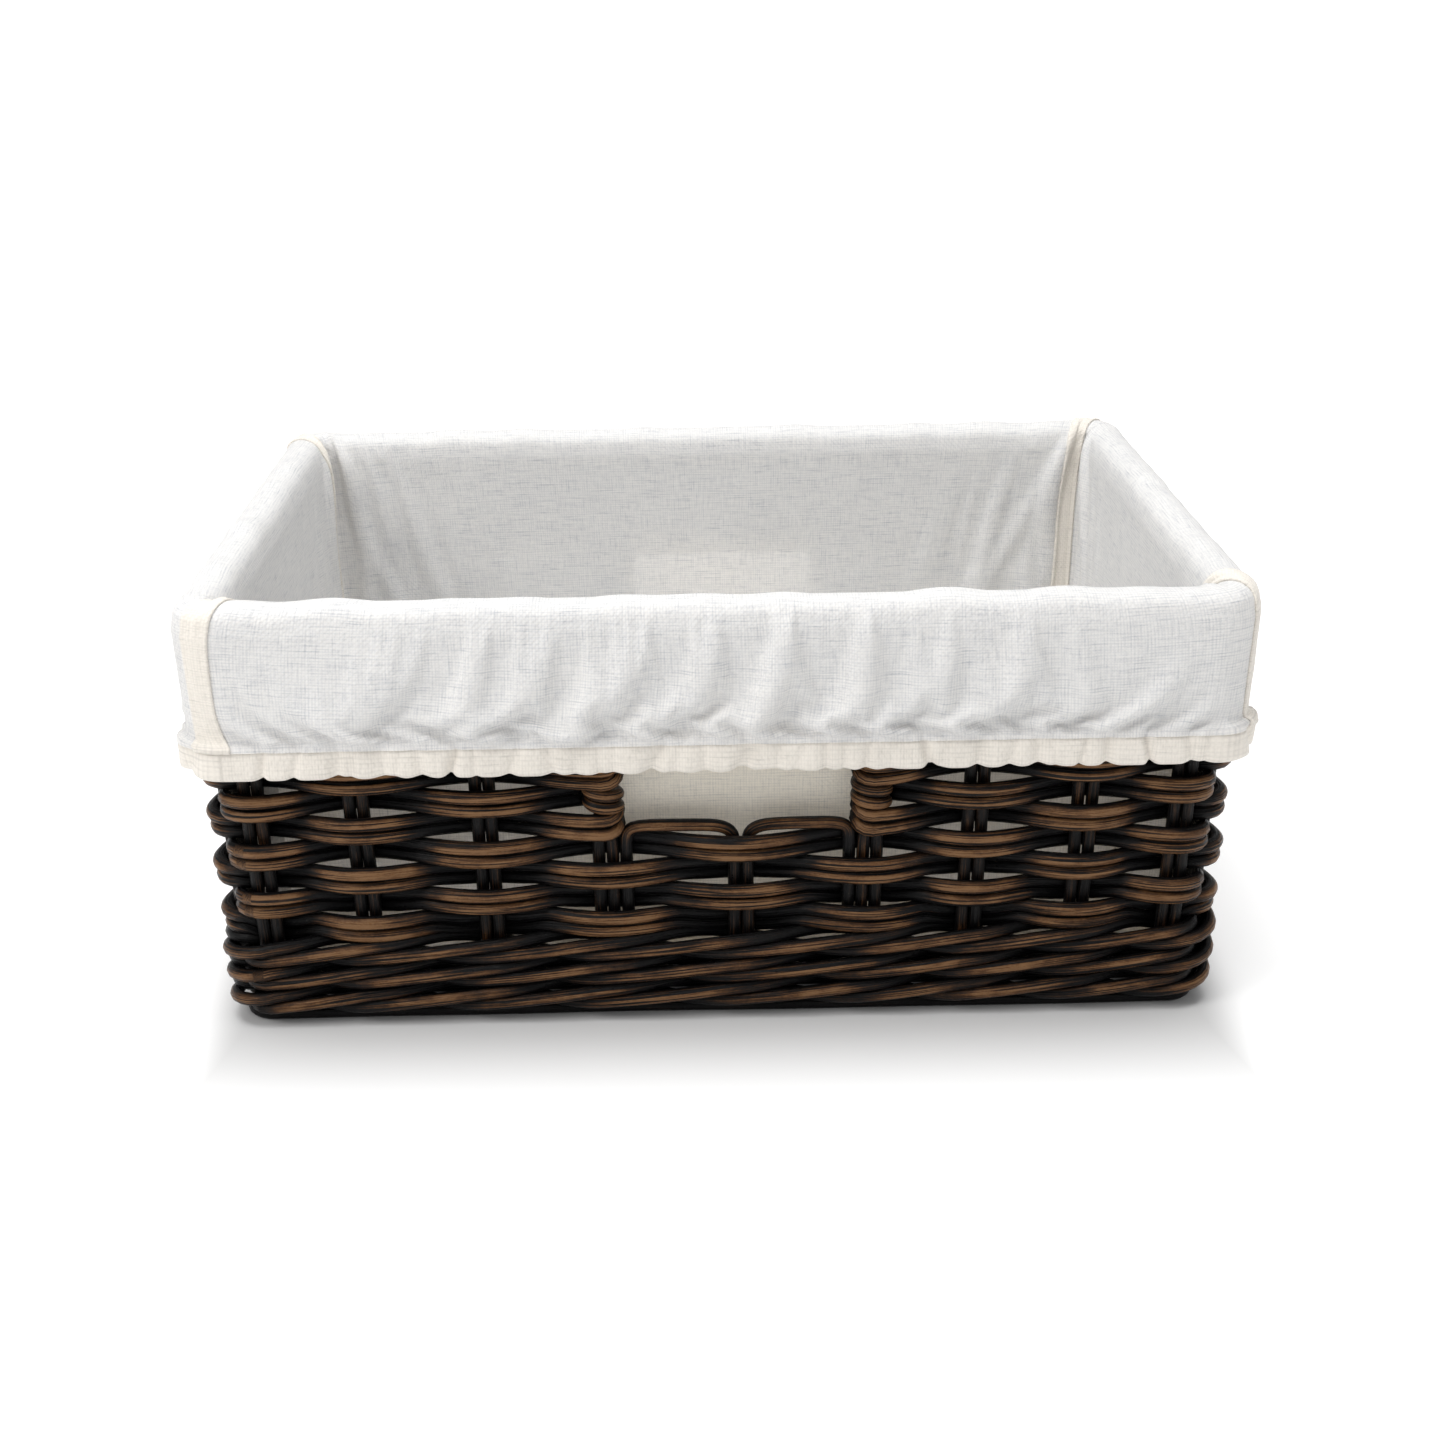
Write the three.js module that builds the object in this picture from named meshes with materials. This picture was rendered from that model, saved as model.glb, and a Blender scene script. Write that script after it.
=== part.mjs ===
// A rectangular rattan basket with a removable cotton liner.
//
// Reed stakes run up one wall, under the base and up the opposite wall. Doubled weavers pass in front of
// one stake and behind the next, over three rows of waling. The front and back walls each have a hand hole:
// four rows of weavers stop at wrapped posts beside it, and two bent reeds arch over its lower edge.
// The liner hangs in the basket and folds over the rim. A hem with an elastic holds it outside the wall.
//
// Units are millimetres, +Z is up and the front faces -Y. The origin is on the floor under the centre.
import * as THREE from "three";

// Driving dimensions.
const REED = 5.6; // diameter of every reed
const GAP = 0.3; // clearance between pieces that touch
const HALF_WIDTH = 203.5; // the wall's middle surface, from the centre along X, at floor level
const HALF_DEPTH = 143.5; // the same along Y
const LEAN = 0.04; // how far the walls lean out for each millimetre of height
const WEAVE = 6.8; // how far a weaver's middle swings out of the wall's middle surface
const ROW_PITCH = 11.4; // height of one row, two reeds
const FIRST_WALE = 11.6; // height of the middle of the lowest row of waling
const WALES = ["lower", "middle", "upper"];
const ROWS = 12; // rows of doubled weavers above the waling
const HOLE_ROWS = [4, 5, 6, 7]; // the rows that the hand holes interrupt, counted from 0
// Along X at floor level. The hand holes and the stakes beside them are woven right of the centre.
const FRONT_STAKES = [-190, -148, -96.5, -47.5, 8.5, 62, 105, 150, 190];
const SIDE_STAKES = [-129, -86, -43, 0, 43, 86, 129]; // along Y
const POSTS = [3, 5]; // the front stakes that stand beside the hand holes
const MIDDLE_STAKE = 4; // the one that ends under them
const SIDE_RUN = 8.5; // height of the left-to-right stakes under the base
const CROSS_RUN = SIDE_RUN + REED + GAP; // the front-to-back ones lie on them
const FABRIC = 1.2; // thickness of the liner
const HEM_BOTTOM = 118;
const HEM_HEIGHT = 14;

// Sizes that follow from them.
const WALL_HALF = WEAVE + REED / 2; // from the wall's middle surface to the outside of the weave
const FIRST_ROW = FIRST_WALE + WALES.length * ROW_PITCH;
const ROW_HALF = (ROW_PITCH - GAP) / 2;
const rowMiddle = (row) => FIRST_ROW + row * ROW_PITCH;
const STAKE_TOP = rowMiddle(ROWS - 1) + ROW_HALF;
const RIM_HALF = 6.2;
const RIM_MIDDLE = STAKE_TOP + GAP + RIM_HALF;
const LINER_TOP = RIM_MIDDLE + RIM_HALF + 0.6 + FABRIC;
const SLEEVE_BOTTOM = rowMiddle(HOLE_ROWS[0]) - ROW_HALF;
const SLEEVE_TOP = rowMiddle(HOLE_ROWS.at(-1)) + ROW_HALF;
const SLEEVE_HALF = 9.1; // half the width of a wrapped post

const halfWidth = (z) => HALF_WIDTH + LEAN * z;
const halfDepth = (z) => HALF_DEPTH + LEAN * z;
const crossX = (i, z) => FRONT_STAKES[i] * (halfWidth(z) / HALF_WIDTH);
const sideY = (j, z) => SIDE_STAKES[j] * (halfDepth(z) / HALF_DEPTH);

// Geometry: every piece is a loft through rings of points, which is closed into a loop or capped at its ends.
function loft(rings, outline, closed) {
  const n = outline.length;
  const positions = rings.flat().flatMap((p) => [p.x, p.y, p.z]);
  const faces = [];
  for (let r = 0; r < rings.length - (closed ? 0 : 1); r++) {
    const next = (r + 1) % rings.length;
    for (let i = 0; i < n; i++) {
      const [a, b] = [r * n + i, r * n + ((i + 1) % n)];
      const [c, d] = [next * n + i, next * n + ((i + 1) % n)];
      faces.push([a, b, d], [a, d, c]);
    }
  }
  if (!closed) {
    const last = (rings.length - 1) * n;
    for (const [a, b, c] of THREE.ShapeUtils.triangulateShape(outline, [])) {
      faces.push([c, b, a], [a + last, b + last, c + last]);
    }
  }
  const corner = (i) => new THREE.Vector3().fromArray(positions, 3 * i);
  const volume = faces.reduce((sum, [a, b, c]) => sum + corner(a).dot(corner(b).cross(corner(c))), 0);
  const turned = volume < 0 ? faces.map(([a, b, c]) => [a, c, b]) : faces;
  const geometry = new THREE.BufferGeometry();
  geometry.setAttribute("position", new THREE.Float32BufferAttribute(positions, 3));
  geometry.setIndex(turned.flat());
  const flat = geometry.toNonIndexed();
  flat.computeVertexNormals();
  return flat;
}

// A ring of a section: its u axis and v axis are vectors in space, and its outline holds [u, v] points.
const ring = (at, u, v, outline) =>
  outline.map((p) => at.clone().addScaledVector(u, p.x).addScaledVector(v, p.y));
function outlineOf(points) {
  const outline = points.map(([u, v]) => new THREE.Vector2(u, v));
  return THREE.ShapeUtils.isClockWise(outline) ? outline.reverse() : outline;
}

const R = REED / 2;
const STAKE_PAIR = outlineOf([[REED, 0], [R, R], [-R, R], [-REED, 0], [-R, -R], [R, -R]]);
const WEAVER_PAIR = outlineOf(
  [[R, -R], [R, R], [0, ROW_HALF], [-R, R], [-R, -R], [0, -ROW_HALF]],
);
const SINGLE_REED = outlineOf(
  [0, 1, 2, 3, 4, 5].map((k) => [R * Math.cos((k * Math.PI) / 3), R * Math.sin((k * Math.PI) / 3)]),
);
const RIM_SECTION = outlineOf(
  [[8.6, 0], [5, RIM_HALF], [-5, RIM_HALF], [-8.6, 0], [-5, -RIM_HALF], [5, -RIM_HALF]],
);

// A reed along a bent line in an upright plane. The wide side of its section stays along the given level axis.
function bentReed(points, wide, outline) {
  const rings = points.map((p, i) => {
    const before = p.clone().sub(points[Math.max(i - 1, 0)]).normalize();
    const after = points[Math.min(i + 1, points.length - 1)].clone().sub(p).normalize();
    const along = before.clone().add(after).normalize();
    const thick = wide.clone().cross(along).normalize();
    const whole = Math.min(before.length(), after.length()) > 0;
    const miter = whole ? 1 / Math.sqrt((1 + before.dot(after)) / 2) : 1;
    return ring(p, wide, thick.multiplyScalar(miter), outline);
  });
  return loft(rings, outline, false);
}

// The stakes round the wall, anticlockwise from the front left, with the wall's outward normal at each.
const STATIONS = [
  ...FRONT_STAKES.map((_, i) => ({ wall: "front", i })),
  ...SIDE_STAKES.map((_, i) => ({ wall: "right", i })),
  ...FRONT_STAKES.map((_, i) => ({ wall: "back", i: FRONT_STAKES.length - 1 - i })),
  ...SIDE_STAKES.map((_, i) => ({ wall: "left", i: SIDE_STAKES.length - 1 - i })),
];
const NORMALS = { front: [0, -1], right: [1, 0], back: [0, 1], left: [-1, 0] };
const normalOf = (wall) => new THREE.Vector3(...NORMALS[wall], 0);
const alongOf = (wall) => new THREE.Vector3(0, 0, 1).cross(normalOf(wall));

function stationPoint({ wall, i }, z) {
  const n = normalOf(wall);
  if (n.x) return new THREE.Vector3(n.x * halfWidth(z), sideY(i, z), z);
  return new THREE.Vector3(crossX(i, z), n.y * halfDepth(z), z);
}

// A point on a row: outside the wall's middle or inside it, moved along the wall by a few millimetres.
function besideStake(station, z, outside, shift) {
  const at = stationPoint(station, z);
  return at.addScaledVector(normalOf(station.wall), outside).addScaledVector(alongOf(station.wall), shift);
}

// A row turns a corner just past the stake that it is outside of, then crosses to the inside of the next.
const TURN = [[9.9, 3.4], [10.3, -1.6]]; // distance from that stake along the wall, and out of it
function cornerTurn(before, after, z, outsideBefore) {
  const station = outsideBefore ? before : after;
  const towards = outsideBefore ? 1 : -1;
  const turn = TURN.map(([along, outside]) => besideStake(station, z, outside, towards * along));
  return outsideBefore ? turn : turn.reverse();
}

const isPost = ({ wall, i }) => (wall === "front" || wall === "back") && POSTS.includes(i);
const POST_REACH = 11; // a row keeps clear of a post and of the arch's leg beside it
const POST_BACK = 3;

function rowPath(row, from, count) {
  const z = rowMiddle(row);
  const path = [];
  for (let k = 0; k < count; k++) {
    const n = (from + k) % STATIONS.length;
    const station = STATIONS[n];
    const next = STATIONS[(n + 1) % STATIONS.length];
    const outside = (n + row) % 2 ? WEAVE : -WEAVE;
    if (isPost(station)) {
      // The hand hole is on the inner side of the post, ahead of it or behind it on this path.
      const ahead = (station.i === POSTS[0]) === (station.wall === "front");
      const shifts = ahead ? [-POST_BACK, POST_REACH] : [-POST_REACH, POST_BACK];
      for (const shift of shifts) path.push(besideStake(station, z, outside, shift));
    } else {
      path.push(besideStake(station, z, outside, 0));
    }
    if (next.wall !== station.wall) path.push(...cornerTurn(station, next, z, outside > 0));
  }
  return path;
}

// The section's outward axis halves the angle between the two legs of the path that meet at a point, and
// the section leans with the wall. The ends of an open path are square to the wall.
function sweepRow(path, closed) {
  const n = path.length;
  const rings = path.map((at, i) => {
    const before = at.clone().sub(path[(i - 1 + n) % n]).normalize();
    const after = path[(i + 1) % n].clone().sub(at).normalize();
    const isEnd = !closed && (i === 0 || i === n - 1);
    const along = isEnd ? new THREE.Vector3(Math.sign(i ? before.x : after.x), 0, 0) : before.clone().add(after);
    const out = new THREE.Vector3(along.y, -along.x, 0).normalize();
    const miter = isEnd ? 1 : 1 / Math.sqrt((1 + before.dot(after)) / 2);
    const up = new THREE.Vector3(0, 0, 1).addScaledVector(out, LEAN);
    return ring(at, out.multiplyScalar(miter), up, WEAVER_PAIR);
  });
  return loft(rings, WEAVER_PAIR, closed);
}

// Half a row, from the post at one hand hole round the side to the post at the other.
function halfRow(row, from, to) {
  const count = (to - from - 1 + STATIONS.length) % STATIONS.length;
  const end = (n, forwards) => besideStake(STATIONS[n], rowMiddle(row), 0, forwards * (SLEEVE_HALF + GAP));
  return sweepRow([end(from, 1), ...rowPath(row, from + 1, count), end(to, -1)], false);
}

// A section swept round the basket at one height. Its line is a stated distance out of the wall's middle at
// floor level, and turns the corners on arcs of a stated radius.
const CORNER_STEPS = 5;
const quarterTurn = (k) => (k / (CORNER_STEPS - 1)) * (Math.PI / 2);
const CORNERS = [[1, -1], [1, 1], [-1, 1], [-1, -1]];
function hoop(z, line, radius, outline, lean) {
  const rings = CORNERS.flatMap(([sx, sy], corner) =>
    Array.from({ length: CORNER_STEPS }, (_, k) => {
      const angle = ((corner - 1) * Math.PI) / 2 + quarterTurn(k);
      const out = new THREE.Vector3(Math.cos(angle), Math.sin(angle), 0);
      const [x, y] = [HALF_WIDTH + line - radius, HALF_DEPTH + line - radius];
      const at = new THREE.Vector3(sx * x, sy * y, z).addScaledVector(out, radius);
      return ring(at, out, new THREE.Vector3(0, 0, 1).addScaledVector(out, lean), outline);
    }),
  );
  return loft(rings, outline, true);
}
const CORNER = 10; // corner radius of the wall's middle surface

// Stakes. Each is a pair of reeds side by side, bent up at both ends of its run under the base.
const BEND = 3;
function stake(point, wide, run, frontTop, backTop) {
  const points = [
    point(-1, frontTop),
    point(-1, run + BEND),
    point(-1, run).add(point.inward(-1)),
    point(1, run).add(point.inward(1)),
    point(1, run + BEND),
    point(1, backTop),
  ];
  return bentReed(points, wide, STAKE_PAIR);
}

function crossStake(i) {
  const point = (side, z) => new THREE.Vector3(crossX(i, z), side * halfDepth(z), z);
  point.inward = (side) => new THREE.Vector3(0, -side * BEND, 0);
  const top = i === MIDDLE_STAKE ? SLEEVE_BOTTOM - 6 : STAKE_TOP;
  return stake(point, new THREE.Vector3(1, 0, 0), CROSS_RUN, top, top);
}

function sideStake(j) {
  const point = (side, z) => new THREE.Vector3(side * halfWidth(z), sideY(j, z), z);
  point.inward = (side) => new THREE.Vector3(-side * BEND, 0, 0);
  return stake(point, new THREE.Vector3(0, 1, 0), SIDE_RUN, STAKE_TOP, STAKE_TOP);
}

// The base: a foot ring, and a mat that the stakes carry.
const FOOT_HEIGHT = 5.4;
const FOOT_LINE = -3;
const FOOT_SECTION = outlineOf([[-5, 0], [5, 0], [5, FOOT_HEIGHT], [-5, FOOT_HEIGHT]]);
const MAT_BOTTOM = CROSS_RUN + R + GAP;
const MAT_THICK = REED;
const MAT_EDGE = 4; // from the wall's middle surface to the edge of the mat
function baseMat() {
  const [x, y] = [HALF_WIDTH - MAT_EDGE, HALF_DEPTH - MAT_EDGE];
  const mat = new THREE.BoxGeometry(2 * x, 2 * y, MAT_THICK);
  return mat.translate(0, 0, MAT_BOTTOM + MAT_THICK / 2);
}

// Hand holes. A sleeve of wrapped reed closes the ends of the half rows round each post.
const SLEEVE_THICK = 3;
const SLEEVE_DEEP = 6.2; // half the sleeve's size through the wall
function postWrap(wall, i) {
  const middle = (SLEEVE_BOTTOM + SLEEVE_TOP) / 2;
  const half = (SLEEVE_TOP - SLEEVE_BOTTOM) / 2;
  const t = SLEEVE_THICK / 2;
  const outline = outlineOf([[-t, -half], [t, -half], [t, half], [-t, half]]);
  const at = stationPoint({ wall, i }, middle);
  const up = stationPoint({ wall, i }, middle + 1).sub(at);
  const corners = [[1, 1], [-1, 1], [-1, -1], [1, -1]];
  const rings = corners.map(([x, y]) => {
    const place = at.clone().add(new THREE.Vector3(x * (SLEEVE_HALF - t), y * (SLEEVE_DEEP - t), 0));
    return ring(place, new THREE.Vector3(x, y, 0), up, outline);
  });
  return loft(rings, outline, true);
}

// A reed that stands beside a post, bends over the lower edge of the hole and ends on the middle stake.
const LEG_BOTTOM = 64;
const ARCH_TOP = SLEEVE_BOTTOM + GAP + R; // height of its middle where it lies level
const ARCH_LINE = [ // from the post: distance along the wall, height
  [1.5 * REED + GAP, LEG_BOTTOM],
  [1.5 * REED + GAP, ARCH_TOP - 11.5],
  [10.3, ARCH_TOP - 6.6],
  [14, ARCH_TOP - 2],
  [20, ARCH_TOP],
];
const ARCH_END = [[9, ARCH_TOP], [4.5, ARCH_TOP - 2], [R + GAP / 2, ARCH_TOP - 5]]; // from the middle stake
function handleArch(wall, post) {
  const inwards = Math.sign(MIDDLE_STAKE - post);
  const y = (z) => normalOf(wall).y * halfDepth(z);
  const leg = ARCH_LINE.map(([s, z]) => new THREE.Vector3(crossX(post, z) + inwards * s, y(z), z));
  const end = ARCH_END.map(([s, z]) => new THREE.Vector3(crossX(MIDDLE_STAKE, z) - inwards * s, y(z), z));
  return bentReed([...leg, ...end], new THREE.Vector3(0, 1, 0), SINGLE_REED);
}

// Liner. Its cross-section is a hook: the inner wall, the fold over the rim, and the skirt outside.
// The skirt hangs clear of the widest part of the basket, so that the liner can be lifted off.
const LINER_CLEAR = 0.6;
const LINER_FLOOR = MAT_BOTTOM + MAT_THICK + GAP;
const CASING_THIN = 0.7;
const CASING_DEEP = 2.6;
const CASING_INSIDE = WALL_HALF + LEAN * STAKE_TOP + 0.5; // from the wall's middle surface at floor level
const SKIRT_OUTSIDE = CASING_INSIDE + CASING_THIN + FABRIC;
const FOLD = 4;
function hookOutline() {
  const inner = (z) => LEAN * z - WALL_HALF - LINER_CLEAR; // the face against the weave
  const skirtEnd = HEM_BOTTOM + HEM_HEIGHT + GAP;
  const shoulder = LINER_TOP - FOLD;
  const points = [
    [inner(LINER_FLOOR), LINER_FLOOR],
    [inner(LINER_FLOOR) - FABRIC, LINER_FLOOR],
    [inner(shoulder) - FABRIC, shoulder],
    [inner(shoulder) - FABRIC + FOLD, LINER_TOP],
    [SKIRT_OUTSIDE - FOLD, LINER_TOP],
    [SKIRT_OUTSIDE, shoulder],
    [SKIRT_OUTSIDE, skirtEnd],
    [SKIRT_OUTSIDE - FABRIC, skirtEnd],
    [SKIRT_OUTSIDE - FABRIC, shoulder],
    [SKIRT_OUTSIDE - FOLD - FABRIC / 2, LINER_TOP - FABRIC],
    [inner(shoulder) + FOLD - FABRIC / 2, LINER_TOP - FABRIC],
    [inner(shoulder), shoulder],
  ];
  return outlineOf(points);
}

// The liner's corners are tighter inside the wall than outside it. The arc through a point of the hook has
// its centre this far out of the wall's middle, which is linear so that every seam lies in one plane.
const arcCentre = (u) => 0.4 * u - 10.1;

function linerPanel(wall) {
  const outline = hookOutline();
  const n = normalOf(wall);
  const along = alongOf(wall);
  const [middle, across] = n.x ? [HALF_WIDTH, HALF_DEPTH] : [HALF_DEPTH, HALF_WIDTH];
  const seam = (side) => outline.map(({ x: u, y: z }) => {
    const reach = across + arcCentre(u) - GAP;
    return new THREE.Vector3(0, 0, z).addScaledVector(n, middle + u).addScaledVector(along, side * reach);
  });
  return loft([seam(-1), seam(1)], outline, false);
}

function cornerBand(sx, sy) {
  const outline = hookOutline();
  const rings = Array.from({ length: CORNER_STEPS }, (_, k) =>
    outline.map(({ x: u, y: z }) => {
      const radius = u - arcCentre(u);
      const x = HALF_WIDTH + arcCentre(u) + radius * Math.cos(quarterTurn(k));
      const y = HALF_DEPTH + arcCentre(u) + radius * Math.sin(quarterTurn(k));
      return new THREE.Vector3(sx * x, sy * y, z);
    }),
  );
  return loft(rings, outline, false);
}

function linerFloor() {
  const inset = WALL_HALF + LINER_CLEAR + FABRIC - LEAN * LINER_FLOOR + GAP + 1;
  const floor = new THREE.BoxGeometry(2 * (HALF_WIDTH - inset), 2 * (HALF_DEPTH - inset), FABRIC);
  return floor.translate(0, 0, LINER_FLOOR + FABRIC / 2);
}

const CASING_SECTION = outlineOf([
  [0, 0], [CASING_DEEP, 0], [CASING_DEEP, HEM_HEIGHT], [CASING_DEEP - CASING_THIN, HEM_HEIGHT],
  [CASING_DEEP - CASING_THIN, CASING_THIN], [CASING_THIN, CASING_THIN],
  [CASING_THIN, HEM_HEIGHT], [0, HEM_HEIGHT],
]);
const ELASTIC_SECTION = outlineOf([[1, 1.5], [1.6, 1.5], [1.6, 11.5], [1, 11.5]]);

// Materials.
const cloth = { roughness: 0.9, metalness: 0 };
const RATTAN = new THREE.MeshStandardMaterial({ color: 0x4a2f1c, roughness: 0.5, metalness: 0 });
const DARK_RATTAN = new THREE.MeshStandardMaterial({ color: 0x2a1c14, roughness: 0.55, metalness: 0 });
const COTTON = new THREE.MeshStandardMaterial({ color: 0xdedbd6, ...cloth });
const COTTON_BAND = new THREE.MeshStandardMaterial({ color: 0xf0e8de, ...cloth });
const RUBBER = new THREE.MeshStandardMaterial({ color: 0xe9e6e0, ...cloth });

// Assembly.
const basket = new THREE.Group();
const linerGroup = new THREE.Group();
const model = new THREE.Group().add(basket, linerGroup);
function add(group, name, geometry, material) {
  const mesh = new THREE.Mesh(geometry, material);
  mesh.name = name;
  group.add(mesh);
}
const numbered = (name, i) => `${name}_${String(i + 1).padStart(2, "0")}`;

add(basket, "base_foot_ring", hoop(0, FOOT_LINE, CORNER + FOOT_LINE, FOOT_SECTION, 0), DARK_RATTAN);
add(basket, "base_mat", baseMat(), RATTAN);
FRONT_STAKES.forEach((_, i) => add(basket, numbered("cross_stake", i), crossStake(i), DARK_RATTAN));
SIDE_STAKES.forEach((_, j) => add(basket, numbered("side_stake", j), sideStake(j), DARK_RATTAN));
WALES.forEach((name, k) => {
  const z = FIRST_WALE + k * ROW_PITCH;
  const wale = hoop(z, LEAN * z + WEAVE, CORNER + WEAVE, WEAVER_PAIR, LEAN);
  add(basket, `wale_${name}`, wale, RATTAN);
});
const LEFT_HALF = [21, 3]; // stations of the posts: back left to front left
const RIGHT_HALF = [5, 19]; // front right to back right
for (let row = 0; row < ROWS; row++) {
  const name = numbered("weaver_row", row);
  if (HOLE_ROWS.includes(row)) {
    add(basket, `${name}_left`, halfRow(row, ...LEFT_HALF), RATTAN);
    add(basket, `${name}_right`, halfRow(row, ...RIGHT_HALF), RATTAN);
  } else {
    add(basket, name, sweepRow(rowPath(row, 0, STATIONS.length), true), RATTAN);
  }
}
add(basket, "rim_border", hoop(RIM_MIDDLE, LEAN * RIM_MIDDLE, CORNER, RIM_SECTION, 0), RATTAN);
for (const wall of ["front", "back"]) {
  POSTS.forEach((post, k) => {
    const hand = ["left", "right"][k];
    add(basket, `handle_post_wrap_${wall}_${hand}`, postWrap(wall, post), RATTAN);
    add(basket, `handle_arch_${wall}_${hand}`, handleArch(wall, post), RATTAN);
  });
}
add(linerGroup, "liner_floor", linerFloor(), COTTON);
for (const wall of ["front", "right", "back", "left"]) {
  add(linerGroup, `liner_panel_${wall}`, linerPanel(wall), COTTON);
}
for (const [wall, sy] of [["front", -1], ["back", 1]]) {
  for (const [hand, sx] of [["left", -1], ["right", 1]]) {
    add(linerGroup, `liner_corner_band_${wall}_${hand}`, cornerBand(sx, sy), COTTON_BAND);
  }
}
const hemRadius = CASING_INSIDE - arcCentre(CASING_INSIDE);
const hem = (section) => hoop(HEM_BOTTOM, CASING_INSIDE, hemRadius, section, 0);
add(linerGroup, "liner_hem_casing", hem(CASING_SECTION), COTTON_BAND);
add(linerGroup, "liner_elastic", hem(ELASTIC_SECTION), RUBBER);

export default model;
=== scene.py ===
"""Looks of a woven rattan basket with a cotton liner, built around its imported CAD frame.

Lengths in this script are millimetres until a mesh is made. +Z is up and the front faces -Y.
"""

import math

import bpy
import numpy as np
from mathutils import Matrix, Vector


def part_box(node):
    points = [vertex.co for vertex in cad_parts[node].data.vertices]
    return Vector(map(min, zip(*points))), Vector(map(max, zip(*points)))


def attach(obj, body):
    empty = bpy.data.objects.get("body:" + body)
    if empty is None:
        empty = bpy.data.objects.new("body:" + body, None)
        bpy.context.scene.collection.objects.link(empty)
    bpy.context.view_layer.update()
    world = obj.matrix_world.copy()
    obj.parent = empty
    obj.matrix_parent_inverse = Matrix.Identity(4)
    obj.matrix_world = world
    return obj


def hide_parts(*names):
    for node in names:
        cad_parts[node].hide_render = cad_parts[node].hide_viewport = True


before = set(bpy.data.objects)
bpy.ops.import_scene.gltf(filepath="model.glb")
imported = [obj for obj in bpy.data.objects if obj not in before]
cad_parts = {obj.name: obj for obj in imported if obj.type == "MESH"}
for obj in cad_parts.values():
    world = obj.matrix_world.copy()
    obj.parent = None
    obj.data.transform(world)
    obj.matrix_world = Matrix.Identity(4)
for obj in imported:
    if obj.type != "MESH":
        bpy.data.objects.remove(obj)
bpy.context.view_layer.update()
MM = 0.001

# The basket's measures, as in the CAD source.
HALF_WIDTH = 203.5
HALF_DEPTH = 143.5
LEAN = 0.04
CORNER = 10.0
ROW_PITCH = 11.4
FIRST_WALE = 11.6
FIRST_ROW = FIRST_WALE + 3 * ROW_PITCH
ROWS = 12
HOLE_ROWS = (4, 5, 6, 7)
FRONT_STAKES = np.array([-190, -148, -96.5, -47.5, 8.5, 62, 105, 150, 190])
SIDE_STAKES = np.array([-129, -86, -43, 0, 43, 86, 129.0])
POSTS = (3, 5)
MIDDLE_STAKE = 4
SIDE_RUN = 8.5
CROSS_RUN = 14.4
STAKE_TOP = 176.75
RIM_MIDDLE = 183.25
LINER_FLOOR = 23.4
HEM_BOTTOM = 118.0

# The reeds.
REED = 2.76  # radius
SPLIT = 2.86  # from a pair's middle to the middle of each reed
WEAVE = 6.3  # how far a row swings to each side of the wall's middle
SIDES = 12  # of a reed's section
STEP = 2.6  # between the rings of a tube


def row_middle(row):
    return FIRST_ROW + row * ROW_PITCH


def ease(t):
    t = np.clip(t, 0, 1)
    return t * t * (3 - 2 * t)


def unit(v):
    return v / np.maximum(np.linalg.norm(v, axis=-1, keepdims=True), 1e-9)


# Meshes.


def new_mesh(name, points, faces, attributes=None, material=None, smooth=True):
    """faces is an array of quads, or a list of such arrays with any number of corners each."""
    groups = faces if isinstance(faces, list) else [faces]
    groups = [g for g in groups if len(g)]
    corners = np.concatenate([g.ravel() for g in groups]).astype(np.int32)
    sizes = np.concatenate([np.full(len(g), g.shape[1]) for g in groups])
    mesh = bpy.data.meshes.new(name)
    mesh.vertices.add(len(points))
    mesh.vertices.foreach_set("co", (np.asarray(points, float) * MM).astype(np.float32).ravel())
    mesh.loops.add(len(corners))
    mesh.loops.foreach_set("vertex_index", corners)
    mesh.polygons.add(len(sizes))
    starts = np.concatenate([[0], np.cumsum(sizes)[:-1]]).astype(np.int32)
    mesh.polygons.foreach_set("loop_start", starts)
    mesh.update(calc_edges=True)
    mesh.polygons.foreach_set("use_smooth", np.full(len(sizes), smooth))
    for key, values in (attributes or {}).items():
        kind = "FLOAT_VECTOR" if values.ndim == 2 else "FLOAT"
        layer = mesh.attributes.new(key, kind, "POINT")
        field = "vector" if values.ndim == 2 else "value"
        layer.data.foreach_set(field, values.astype(np.float32).ravel())
    mesh.validate()
    obj = bpy.data.objects.new(name, mesh)
    bpy.context.scene.collection.objects.link(obj)
    if material:
        mesh.materials.append(material)
    return obj


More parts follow.
